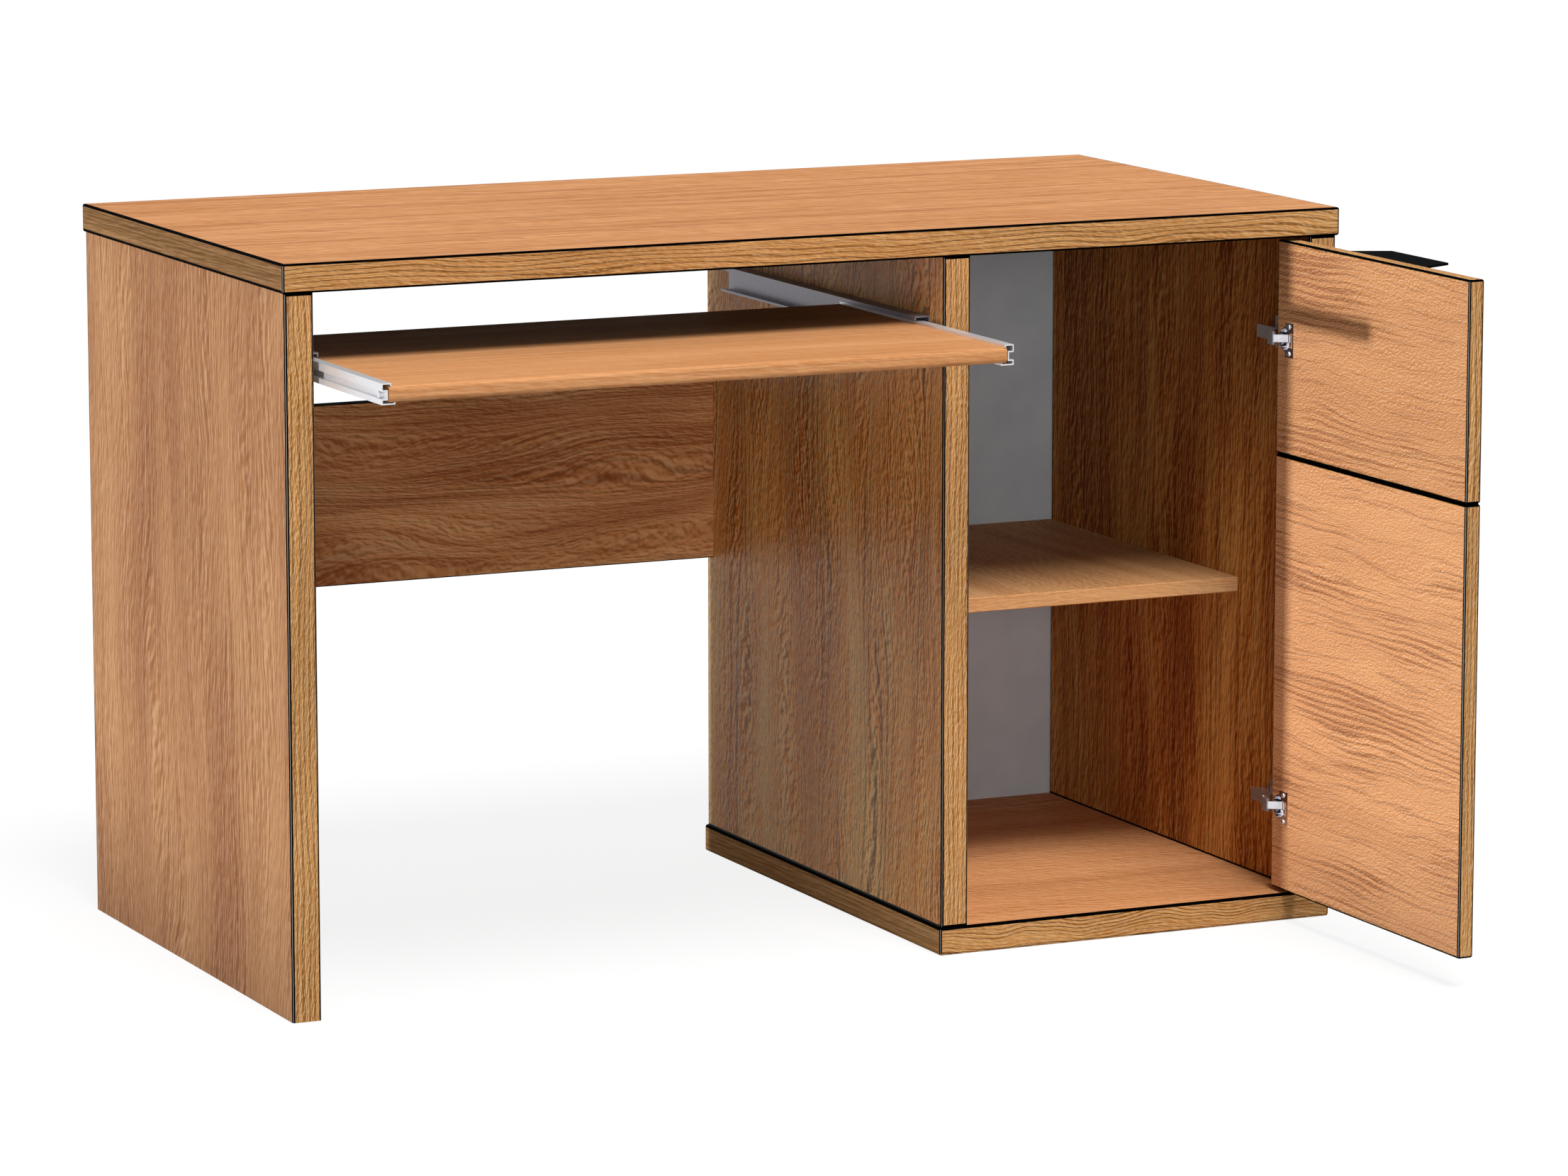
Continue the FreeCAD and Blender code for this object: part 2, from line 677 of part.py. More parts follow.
for level in ("upper", "lower"):
    height = f"{level}_hinge_height"
    plate_y = f"({upright_front} + plate_setback)"
    wings = block(
        f"{level}_plate_wings", f"({right_inner} - plate_thickness)", f"({plate_y} - plate_half_width)",
        f"({height} - plate_half_height)", "plate_thickness", "(2 * plate_half_width)",
        "(2 * plate_half_height)",
    )
    saddle = block(
        f"{level}_plate_saddle", f"({right_inner} - arm_standoff)", f"({plate_y} - saddle_front)",
        f"({height} - saddle_half_height)", "arm_standoff", "(saddle_front + saddle_back)",
        "(2 * saddle_half_height)",
    )
    plate = fused(f"{level}_plate_body", [wings, saddle])
    plate_holes = []
    for number, sign in (("first", "+"), ("second", "-")):
        piece, hole = screw(
            f"{level}_plate_screw_{number}", f"({right_inner} - plate_thickness)", plate_y,
            f"({height} {sign} plate_screw_offset)", "x", "screw_length", True,
        )
        plate_screws.append(piece)
        plate_holes.append(hole)
    right_screw_holes += plate_holes
    piece, hole = screw(
        f"{level}_fixing_screw", f"({right_inner} - arm_standoff - arm_thickness)", plate_y,
        height, "x", "(arm_standoff - plate_thickness)", True,
    )
    fixing_screws.append(piece)
    node(f"{level}_hinge_plate", cut(f"{level}_hinge_plate", plate, plate_holes + [hole]))

    arm_bar = doc.addObject("PartDesign::Body", f"{level}_arm_bar")
    pad(arm_bar, "XY_Plane", arm_outline, "(2 * arm_half_height)")
    place(arm_bar, pivot_x, pivot_y, f"({height} - arm_half_height)")
    link_bar = doc.addObject("PartDesign::Body", f"{level}_link_bar")
    pad(link_bar, "XY_Plane", link_outline, "(2 * link_half_height)")
    place(link_bar, pivot_x, pivot_y, f"({height} - link_half_height)")
    eye = rod(
        f"{level}_arm_eye", pivot_x, pivot_y, f"({height} - link_half_height)",
        "eye_radius", "(2 * link_half_height)", "z",
    )
    pin_start = (pivot_x, pivot_y, f"({height} - hinge_pin_half)")
    pin = rod(f"{level}_hinge_pin", *pin_start, "hinge_pin_radius", "(2 * hinge_pin_half)", "z")
    arm_pin_hole = rod(
        f"{level}_arm_pin_hole", *pin_start, "hinge_pin_radius", "(2 * hinge_pin_half)", "z",
    )
    hinge_pins.append(pin)
    arm = fused(f"{level}_arm_body", [arm_bar, link_bar, eye])
    node(f"{level}_hinge_arm", cut(f"{level}_hinge_arm", arm, [arm_pin_hole, hole]))

    shell = rod(f"{level}_cup_shell", door_inner, cup_y, height, "cup_radius", "cup_depth", "x")
    flange_x = f"({door_inner} - flange_thickness)"
    ear_y = f"({door_hinge_edge} - ear_far)"
    ears = [
        block(
            f"{level}_cup_ear_{number}", flange_x, ear_y, bottom, "flange_thickness",
            "(ear_far - ear_near)", "(ear_outer - ear_inner)",
        )
        for number, bottom in (("first", f"({height} + ear_inner)"), ("second", f"({height} - ear_outer)"))
    ]
    strip = block(
        f"{level}_cup_strip", flange_x, ear_y, f"({height} - ear_outer)", "flange_thickness",
        "flange_strip", "(2 * ear_outer)",
    )
    cavity = rod(
        f"{level}_cup_cavity", flange_x, cup_y, height, "(cup_radius - cup_wall)",
        "(flange_thickness + cup_depth - cup_wall)", "x",
    )
    hollow = cut(f"{level}_cup_hollow", fused(f"{level}_cup_solid", [shell, strip] + ears), [cavity])
    lug_depth = "(pivot_depth + lug_half_width)"
    lugs = [
        block(
            f"{level}_cup_lug_{number}", f"({door_outer} - {lug_depth})", f"({pivot_y} - lug_half_width)",
            bottom, f"({lug_depth} - door_thickness + cup_depth)", "(2 * lug_half_width)",
            "(lug_outer - lug_inner)",
        )
        for number, bottom in (("first", f"({height} + lug_inner)"), ("second", f"({height} - lug_outer)"))
    ]
    cup = fused(f"{level}_cup_body", [hollow] + lugs)
    pin_room = rod(
        f"{level}_cup_pin_room", pivot_x, pivot_y, f"({height} - lug_outer)",
        "(hinge_pin_radius + hinge_pin_clearance)", "(2 * lug_outer)", "z",
    )
    cup_holes = []
    for number, sign in (("first", "+"), ("second", "-")):
        piece, hole = screw(
            f"{level}_cup_screw_{number}", flange_x, f"({door_hinge_edge} - cup_screw_backset)",
            f"({height} {sign} cup_screw_offset)", "x", "cup_screw_length", True,
        )
        cup_screws.append(piece)
        cup_holes.append(hole)
    node(f"{level}_hinge_cup", cut(f"{level}_hinge_cup", cup, cup_holes + [pin_room]))
    bore = rod(
        f"{level}_cup_bore", door_inner, cup_y, height,
        "(cup_radius + cup_clearance)", "(cup_depth + cup_clearance)", "x",
    )
    door_bores[level] += cup_holes + [bore]
node("hinge_pins", group("hinge_pins", hinge_pins))
node("hinge_plate_screws", group("hinge_plate_screws", plate_screws))
node("hinge_fixing_screws", group("hinge_fixing_screws", fixing_screws))
node("hinge_cup_screws", group("hinge_cup_screws", cup_screws))

# Handle: a folded plate with a tapering grip flange

handle_y = f"({door_hinge_edge} - {door_width} / 2)"
handle_top = f"({door_top} - handle_drop)"
handle_body = doc.addObject("PartDesign::Body", "handle_body")
grip_outline = [
    ("0", "(-handle_length / 2)"),
    ("handle_reach", "(-handle_outer_length / 2)"),
    ("handle_reach", "(handle_outer_length / 2)"),
    ("0", "(handle_length / 2)"),
]
flange_outline = [
    ("0", "(-handle_length / 2)"),
    ("handle_thickness", "(-handle_length / 2)"),
    ("handle_thickness", "(handle_length / 2)"),
    ("0", "(handle_length / 2)"),
]
pad(handle_body, "XY_Plane", grip_outline, "handle_thickness", backwards=True)
pad(handle_body, "XY_Plane", flange_outline, "handle_flange", backwards=True)
place(handle_body, door_outer, handle_y, handle_top)
handle_screws = []
handle_holes = []
for number, sign in (("first", "+"), ("second", "-")):
    piece, hole = screw(
        f"handle_screw_{number}", f"({door_outer} + handle_thickness)",
        f"({handle_y} {sign} (handle_length / 2 - handle_screw_inset))",
        f"({handle_top} - (handle_thickness + handle_flange) / 2)",
        "x", "handle_screw_length", False,
    )
    handle_screws.append(piece)
    handle_holes.append(hole)
node("door_handle", cut("door_handle", handle_body, handle_holes))
node("handle_screws", group("handle_screws", handle_screws))
door_bores["upper"] += handle_holes

# Door panels with their bands, and the strip and dowels that join them

door_dowels = []
door_dowel_bores = []
door_middle = f"({door_inner} + door_thickness / 2)"
for number, depth in (
    ("first", f"({door_hinge_edge} - door_dowel_inset)"),
    ("second", handle_y),
    ("third", f"({door_free_edge} + door_dowel_inset)"),
):
    pin, bore = dowel(f"door_dowel_{number}", door_middle, depth, f"({split_bottom} + split_gap / 2)", "z")
    door_dowels.append(pin)
    door_dowel_bores.append(bore)
node("door_dowels", group("door_dowels", door_dowels))
strip = block(
    "door_strip_bar", f"({door_inner} + strip_recess)", f"({door_free_edge} + strip_recess)", split_bottom,
    "(door_thickness - 2 * strip_recess)", f"({door_width} - 2 * strip_recess)", "split_gap",
)
node("door_joining_strip", cut("door_joining_strip", strip, door_dowel_bores))

for level, bottom, top in (("upper", split_top, door_top), ("lower", door_bottom, split_bottom)):
    core_height = f"({top} - {bottom} - 2 * band_thickness)"
    core_width = f"({door_width} - 2 * band_thickness)"
    core_bottom = f"({bottom} + band_thickness)"
    core = block(
        f"{level}_door_core", door_inner, f"({door_free_edge} + band_thickness)", core_bottom,
        "door_thickness", core_width, core_height,
    )
    node(f"{level}_door_panel", cut(f"{level}_door_panel", core, door_bores[level] + door_dowel_bores))
    bands = []
    for edge, x, z, outer, hidden in (
        ("top", door_free_edge, f"({top} - band_thickness)", "+z", "-z"),
        ("bottom", door_free_edge, bottom, "-z", "+z"),
    ):
        bar = block(
            f"{level}_door_{edge}_bar", door_inner, x, z, "door_thickness", door_width, "band_thickness",
        )
        band = rounded(f"{level}_door_{edge}_band", bar, band_radius, [outer, "-y", "+y"], [hidden])
        joined = (level == "upper") == (edge == "bottom")
        bands.append(cut(f"{level}_door_{edge}_strip", band, door_dowel_bores) if joined else band)
    for edge, y, outer, hidden in (
        ("free", door_free_edge, "-y", "+y"),
        ("hinge", f"({door_hinge_edge} - band_thickness)", "+y", "-y"),
    ):
        bar = block(
            f"{level}_door_{edge}_bar", door_inner, y, core_bottom, "door_thickness",
            "band_thickness", core_height,
        )
        bands.append(rounded(
            f"{level}_door_{edge}_band", bar, band_radius, [outer], [hidden, "-z", "+z"],
        ))
    node(f"{level}_door_bands", group(f"{level}_door_bands", bands))

# Desk top and base: a board with a band on each of its four edges


def banded_slab(name, x, width, z, height, bores):
    board = block(
        f"{name}_core", f"({x} + band_thickness)", f"({front} + band_thickness)", z,
        f"({width} - 2 * band_thickness)", "(top_depth - 2 * band_thickness)", height,
    )
    node(f"{name}_board", cut(f"{name}_board", board, bores))
    for edge, y, outer, hidden in (
        ("front", front, "-y", "+y"),
        ("back", f"({back} - band_thickness)", "+y", "-y"),
    ):
        bar = block(f"{name}_{edge}_bar", x, y, z, width, "band_thickness", height)
        band = rounded(f"{name}_{edge}_band", bar, band_radius, [outer, "-x", "+x"], [hidden])
        node(f"{name}_{edge}_band", band)
    for edge, left, outer, hidden in (
        ("left", x, "-x", "+x"),
        ("right", f"({x} + {width} - band_thickness)", "+x", "-x"),
    ):
        bar = block(
            f"{name}_{edge}_bar", left, f"({front} + band_thickness)", z,
            "band_thickness", "(top_depth - 2 * band_thickness)", height,
        )
        band = rounded(f"{name}_{edge}_band", bar, band_radius, [outer], [hidden, "-y", "+y"])
        node(f"{name}_{edge}_band", band)


banded_slab("desk_top", left_end, "top_width", under_top, "top_thickness", top_bores)
banded_slab("base", base_left, base_width, "0", "base_thickness", base_bores)

# Uprights: the leg and the two cabinet sides, banded at the front and the back


def upright(name, x, bottom, bores, band_bores, hidden):
    height = f"({under_top} - {bottom})"
    depth = f"({upright_back} - {upright_front} - 2 * band_thickness)"
    core = block(
        f"{name}_core", x, f"({upright_front} + band_thickness)", bottom,
        "upright_thickness", depth, height,
    )
    node(f"{name}_board", cut(f"{name}_board", core, bores))
    front_bar = block(
        f"{name}_front_bar", x, upright_front, bottom, "upright_thickness", "band_thickness", height,
    )
    node(
        f"{name}_front_band",
        rounded(f"{name}_front_band", front_bar, band_radius, ["-y"], ["+y"] + hidden),
    )
    back_bar = block(
        f"{name}_back_bar", x, f"({upright_back} - band_thickness)", bottom,
        "upright_thickness", "band_thickness", height,
    )
    back_band = rounded(f"{name}_back_round", back_bar, band_radius, ["+y"], ["-y"] + hidden)
    if band_bores:
        back_band = cut(f"{name}_back_drilled", back_band, band_bores)
    node(f"{name}_back_band", back_band)


upright("left_leg", leg_outer, "0", dowel_holes["leg"] + screw_holes["left"], [], ["-z"])
upright(
    "middle_panel", middle_outer, "base_thickness",
    dowel_holes["middle"] + screw_holes["right"] + pin_holes["middle"] + nail_holes["middle"],
    nail_holes["middle"], [],
)
upright(
    "right_panel", right_inner, "base_thickness",
    dowel_holes["right"] + right_screw_holes + pin_holes["right"] + nail_holes["right"],
    nail_holes["right"], [],
)

# Modesty panel with a thin black band along its two long edges

modesty_width = f"({middle_outer} - {leg_inner})"
modesty_core = block(
    "modesty_core", leg_inner, modesty_front, "(modesty_bottom + thin_band)",
    modesty_width, "modesty_thickness", "(modesty_height - 2 * thin_band)",
)
node("modesty_panel", cut("modesty_panel", modesty_core, modesty_bores))
for edge, bottom in (
    ("bottom", "modesty_bottom"),
    ("top", "(modesty_bottom + modesty_height - thin_band)"),
):
    node(f"modesty_{edge}_band", block(
        f"modesty_{edge}_band", leg_inner, modesty_front, bottom,
        modesty_width, "modesty_thickness", "thin_band",
    ))

# Cabinet back and shelf

back_sheet = block(
    "back_sheet", f"({middle_outer} + back_inset)", upright_back, "base_thickness",
    "(cabinet_width - 2 * back_inset)", "back_thickness", f"({under_top} - base_thickness)",
)
node("cabinet_back", cut("cabinet_back", back_sheet, nail_holes["middle"] + nail_holes["right"]))
shelf_board = block(
    "shelf_board", f"({middle_inner} + shelf_clearance)", f"({upright_front} + shelf_setback)",
    "(shelf_height - shelf_thickness)", f"({right_inner} - {middle_inner} - 2 * shelf_clearance)",
    f"({upright_back} - {upright_front} - shelf_setback - shelf_clearance)", "shelf_thickness",
)
shelf_radius = min(value("shelf_round"), 0.45 * value("shelf_thickness"))
node("cabinet_shelf", rounded("cabinet_shelf", shelf_board, shelf_radius, ["-y"], ["-x", "+x"]))

doc.recompute()

# Every object is sound before anything is written

faulty = [piece.Label for piece in doc.Objects if {"Invalid", "Error"} & set(piece.State)]
if faulty:
    raise RuntimeError(f"these objects failed: {faulty}")
for name, piece in nodes.items():
    if piece.Shape.isNull() or not piece.Shape.isValid():
        raise RuntimeError(f"{name} has no sound shape")
os.makedirs("parts", exist_ok=True)
for name, piece in nodes.items():
    piece.Shape.exportStep(f"parts/{name}.step")
print(len(nodes), "nodes written")
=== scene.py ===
from math import pi, radians

import bmesh
import bpy
from mathutils import Matrix, Vector


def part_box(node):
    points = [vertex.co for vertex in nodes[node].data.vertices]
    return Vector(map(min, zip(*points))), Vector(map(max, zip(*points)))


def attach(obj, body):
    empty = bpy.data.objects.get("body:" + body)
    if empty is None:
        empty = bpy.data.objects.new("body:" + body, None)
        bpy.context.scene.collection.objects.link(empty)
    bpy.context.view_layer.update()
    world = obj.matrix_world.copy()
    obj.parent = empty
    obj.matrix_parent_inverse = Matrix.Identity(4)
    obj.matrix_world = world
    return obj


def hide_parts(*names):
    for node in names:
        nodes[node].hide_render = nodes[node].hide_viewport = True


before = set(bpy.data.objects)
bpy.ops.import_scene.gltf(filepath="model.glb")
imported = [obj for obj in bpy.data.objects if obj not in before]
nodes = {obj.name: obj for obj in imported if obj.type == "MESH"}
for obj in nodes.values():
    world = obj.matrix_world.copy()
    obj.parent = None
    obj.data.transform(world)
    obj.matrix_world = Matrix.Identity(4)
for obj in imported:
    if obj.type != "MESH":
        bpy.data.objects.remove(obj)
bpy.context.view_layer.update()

scene = bpy.context.scene
mm = 0.001
print("frame loaded with", len(nodes), "CAD nodes")


def linear(hexColour):
    parts = [int(hexColour[i:i + 2], 16) / 255 for i in (1, 3, 5)]
    return [p / 12.92 if p <= 0.04045 else ((p + 0.055) / 1.055) ** 2.4 for p in parts] + [1]


# sockets go by name or number; a Mix takes numbers in 2 and 3, vectors in 4 and 5, colours in 6 and 7
def addNode(tree, kind, inputs=None, stops=None, **settings):
    node = tree.nodes.new("ShaderNode" + kind)
    for name, value in settings.items():
        setattr(node, name, value)
    for name, value in (inputs or {}).items():
        if isinstance(value, bpy.types.Node):
            value = value.outputs[0]
        if isinstance(value, bpy.types.NodeSocket):
            tree.links.new(value, node.inputs[name])
        else:
            node.inputs[name].default_value = linear(value) if isinstance(value, str) else value
    for index, (place, colour) in enumerate(stops or ()):
        elements = node.color_ramp.elements
        element = elements[index] if index < 2 else elements.new(place)
        element.position = place
        element.color = linear(colour)
    return node


def newMaterial(name):
    material = bpy.data.materials.new(name)
    material.use_nodes = True
    tree = material.node_tree
    tree.nodes.clear()
    shader = addNode(tree, "BsdfPrincipled")
    addNode(tree, "OutputMaterial", {"Surface": shader})
    return material, tree, shader


def dress(name, material):
    nodes[name].data.materials.clear()
    nodes[name].data.materials.append(material)


# oak decor: the turns bring the desk's x, y or z to the length of the grain
grainTurns = {"x": (0, 0, 0), "y": (0, 0, -pi / 2), "z": (0, pi / 2, 0)}
turnedShare = 0.7  # share of its normal by which a face counts as turned to one side
bendNoise = {"step": 1.3, "detail": 1}  # step: between the planes of the noise that bend the grain
# detail, plane in the noise and shift of each layer; the rim is the pores once more, a little aside, and
# taken from the pores it gives them a dark flank, printed pore and painted shade in one, and a light flank,
# a painted highlight
layerNoise = {
    "tone": (2, 3.0, (0, 0, 0)), "vein": (3, 4.7, (0, 0, 0)), "pore": (1, 6.4, (0, 0, 0)),
    "rim": (1, 6.4, (0.15, 0.45, 0)), "zone": (1, 8.1, (0, 0, 0)),
}


def grainLayers(tree, look):
    place = addNode(tree, "TexCoord")
    turned = addNode(tree, "Mapping", {
        "Vector": place.outputs["Object"], "Rotation": grainTurns[look["grain"]],
        "Location": look["offset"]})
    if look["endGrain"]:
        # faces turned to the front or the back have a grain of their own
        stood = addNode(tree, "Mapping", {
            "Vector": place.outputs["Object"], "Rotation": grainTurns[look["endGrain"]],
            "Location": look["offset"]})
        facing = addNode(tree, "SeparateXYZ", {0: place.outputs["Normal"]})
        side = addNode(tree, "Math", {0: facing.outputs[1]}, operation="ABSOLUTE")
        isEnd = addNode(tree, "Math", {0: side, 1: turnedShare}, operation="GREATER_THAN")
        turned = addNode(tree, "Mix", {0: isEnd, 4: turned, 5: stood}, data_type="VECTOR").outputs[1]
    split = addNode(tree, "SeparateXYZ", {0: turned})
    along = split.outputs[0]
    across = addNode(tree, "Math", {0: split.outputs[1], 1: split.outputs[2]}, operation="ADD")
    for number, (length, width, swing) in enumerate(look["bends"]):
        flow = addNode(tree, "CombineXYZ", {0: along, 1: across, 2: bendNoise["step"] * number})
        cells = addNode(tree, "VectorMath", {
            0: flow, 1: (1 / (length * mm), 1 / (width * mm), 1)}, operation="MULTIPLY")
        bend = addNode(tree, "TexNoise", {"Vector": cells, "Scale": 1.0, "Detail": bendNoise["detail"]})
        shift = addNode(
            tree, "Math", {0: bend, 1: swing * mm, 2: -swing * mm / 2}, operation="MULTIPLY_ADD")
        across = addNode(tree, "Math", {0: across, 1: shift}, operation="ADD")
    layers = {}
    for layer, (detail, plane, aside) in layerNoise.items():
        length, width = look["pore" if layer == "rim" else layer]
        flow = addNode(tree, "CombineXYZ", {0: along, 1: across, 2: plane})
        cells = addNode(tree, "VectorMath", {
            0: flow, 1: (1 / (length * mm), 1 / (width * mm), 1), 2: aside}, operation="MULTIPLY_ADD")
        layers[layer] = addNode(tree, "TexNoise", {"Vector": cells, "Scale": 1.0, "Detail": detail})
    layers["paintedRelief"] = addNode(tree, "Math", {0: layers["pore"], 1: layers["rim"]}, operation="SUBTRACT")
    # year lines stray a little, crowd in some zones and leave plain wood in others
    turns = addNode(tree, "Math", {0: across, 1: 2 * pi / (look["ring"] * mm)}, operation="MULTIPLY")
    strayed = addNode(
        tree, "Math", {0: layers["vein"], 1: look["stray"], 2: turns}, operation="MULTIPLY_ADD")
    wave = addNode(tree, "Math", {0: strayed}, operation="SINE")
    layers["ring"] = addNode(
        tree, "Math", {0: layers["zone"], 1: look["zoning"], 2: wave}, operation="MULTIPLY_ADD")
    return layers


foilLook = {
    "grain": "x", "endGrain": None, "offset": (0, 0, 0),
    "bends": ((560, 130, 80), (70, 16, 4)),  # length, width and swing in mm
    # mm between year lines, how far they stray, how strongly they keep to zones, how many zones have them
    "ring": 7, "stray": 5, "zoning": 6, "crowd": 0,
    # length and width in mm of what each layer draws; the pores are drawn coarser than real ones, to show
    "tone": (620, 48), "zone": (600, 60), "vein": (150, 6), "pore": (12, 2.2),
    "wood": ("#c88a58", "#d09260", "#d89b69"),
    "ringColour": "#8f5224", "ringShare": 0.34,
    "veinColour": "#985a2a", "veinShare": 0.25,
    # the pore colour prints the dark pores and also a painted shade on their dark flank
    "poreColour": "#8a4f24", "poreShare": 0.26,
    # the glint is the pale colour of a painted highlight on the light flank of each pore
    "glint": "#f2cfa0", "glintShare": 0.2,
    "roughness": 0.5, "gloss": 0.04, "bump": 0.3, "joint": None, "edges": None, "backing": None,
}
# how the foil is printed: its woods by tone and vein, from where to where in its layer each mark fades in,
# and what the pores do to the roughness and, in mm, to the depth
foilPrint = {
    "toneShare": 0.55, "veinShare": 0.45, "woods": (0.41, 0.5, 0.59), "lineFade": 0.7,
    "vein": (0.55, 0.63), "pore": (0.02, 0.14), "glint": (-0.02, -0.14),
    "poreRough": (0.4, 0.65), "roughening": 0.15, "poreDepth": 1.2,
}
# black roundings: the largest part of a normal tells how far it slants, and upright ones get a pale painted
# highlight down their middle
blackArris = {
    "colour": "#020203", "roughness": 0.6, "slant": (0.985, 0.998),
    "paintedShine": "#c0beba", "paintedShineShare": 0.5, "paintedShineSlant": (0.73, 0.82), "upright": 0.25,
}


def printedOak(tree, look, layers):
    # woods by tone and vein, then year lines, veins, the dark flank of the pores, printed pore with painted
    # shade, and their light flank, a painted highlight
    veined = addNode(tree, "Math", {0: layers["vein"], 1: foilPrint["veinShare"]}, operation="MULTIPLY")
    figure = addNode(
        tree, "Math", {0: layers["tone"], 1: foilPrint["toneShare"], 2: veined}, operation="MULTIPLY_ADD")
    woods = tuple(zip(foilPrint["woods"], look["wood"]))
    colour = addNode(tree, "ValToRGB", {0: figure}, stops=woods).outputs[0]
    lineStart = look["zoning"] / 2 + foilPrint["lineFade"] - look["crowd"]
    marks = (
        ("ring", (lineStart, lineStart + foilPrint["lineFade"]), "ringShare", "ringColour"),
        ("vein", foilPrint["vein"], "veinShare", "veinColour"),
        ("paintedRelief", foilPrint["pore"], "poreShare", "poreColour"),
        ("paintedRelief", foilPrint["glint"], "glintShare", "glint"),
    )
    for layer, (start, full), share, paint in marks:
        amount = addNode(tree, "MapRange", {0: layers[layer], 1: start, 2: full, 3: 0.0, 4: look[share]})
        colour = addNode(tree, "Mix", {0: amount, 6: colour, 7: look[paint]}, data_type="RGBA").outputs[2]
    return colour


def arrisMasks(tree, axis, below, above):
    # milled roundings, told by their slanting normals, and a little of the flat beside them
    place = addNode(tree, "TexCoord")
    split = addNode(tree, "SeparateXYZ", {0: place.outputs["Object"]})
    size = addNode(tree, "VectorMath", {0: place.outputs["Normal"]}, operation="ABSOLUTE")
    facing = addNode(tree, "SeparateXYZ", {0: size})
    larger = addNode(tree, "Math", {0: facing.outputs[0], 1: facing.outputs[1]}, operation="MAXIMUM")
    largest = addNode(tree, "Math", {0: larger, 1: facing.outputs[2]}, operation="MAXIMUM")
    start, end = blackArris["slant"]
    slanted = addNode(tree, "MapRange", {0: largest, 1: start, 2: end, 3: 1.0, 4: 0.0})
    black = [addNode(tree, "Math", {0: split.outputs[axis], 1: above}, operation="GREATER_THAN")]
    if below is None:
        # roundings that look down stay bare
        normal = addNode(tree, "SeparateXYZ", {0: place.outputs["Normal"]})
        raised = addNode(
            tree, "Math", {0: normal.outputs[2], 1: -blackArris["upright"]}, operation="GREATER_THAN")
        slanted = addNode(tree, "Math", {0: slanted, 1: raised}, operation="MULTIPLY")
    else:
        black.append(addNode(tree, "Math", {0: split.outputs[axis], 1: below}, operation="LESS_THAN"))
    black.append(slanted)
    # a pale line down the middle of upright roundings, a painted highlight
    upright = addNode(
        tree, "Math", {0: facing.outputs[2], 1: blackArris["upright"]}, operation="LESS_THAN")
    start, end = blackArris["paintedShineSlant"]
    paintedShine = addNode(tree, "MapRange", {0: largest, 1: start, 2: end, 3: blackArris["paintedShineShare"], 4: 0.0})
    paintedShineMask = addNode(tree, "Math", {0: paintedShine, 1: upright}, operation="MULTIPLY")
    return black, paintedShineMask


def oakFoil(name, **changes):
    # melamine foil: a printed oak figure, a low sheen broken by pressed pores
    look = {**foilLook, **changes}
    material, tree, shader = newMaterial(name)
    layers = grainLayers(tree, look)
    colour = printedOak(tree, look, layers)
    start, full = foilPrint["poreRough"]
    rough = addNode(tree, "MapRange", {
        0: layers["pore"], 1: start, 2: full, 3: look["roughness"],
        4: look["roughness"] + foilPrint["roughening"]}).outputs[0]
    stains = []  # mask, colour and, where it has its own, roughness of what lies over the print
    black = (blackArris["colour"], blackArris["roughness"])
    if look["backing"]:
        # dark balancing paper on the underside
        normal = addNode(tree, "SeparateXYZ", {0: addNode(tree, "TexCoord").outputs["Normal"]})
        under = addNode(tree, "Math", {0: normal.outputs[2], 1: -turnedShare}, operation="LESS_THAN")
        stains.append((under, look["backing"], None))
    if look["joint"]:
        # dark line where the panel stands on the cupboard base
        place = addNode(tree, "SeparateXYZ", {0: addNode(tree, "TexCoord").outputs["Object"]})
        foot = addNode(tree, "Math", {0: place.outputs[2], 1: look["joint"]}, operation="LESS_THAN")
        stains.append((foot, *black))
    if look["edges"]:
        masks, paintedShineMask = arrisMasks(tree, *look["edges"])
        stains += [(mask, *black) for mask in masks]
        # the pale painted highlight on upright black roundings
        stains.append((paintedShineMask, blackArris["paintedShine"], None))
    for mask, paint, roughness in stains:
        colour = addNode(tree, "Mix", {0: mask, 6: colour, 7: paint}, data_type="RGBA").outputs[2]
        if roughness:
            rough = addNode(tree, "Mix", {0: mask, 2: rough, 3: roughness}).outputs[0]
    bump = addNode(tree, "Bump", {
        "Height": layers["pore"], "Strength": look["bump"], "Distance": foilPrint["poreDepth"] * mm})
    for socket, value in (("Base Color", colour), ("Roughness", rough), ("Normal", bump.outputs[0])):
        tree.links.new(value, shader.inputs[socket])
    shader.inputs["Specular IOR Level"].default_value = look["gloss"]
    return material


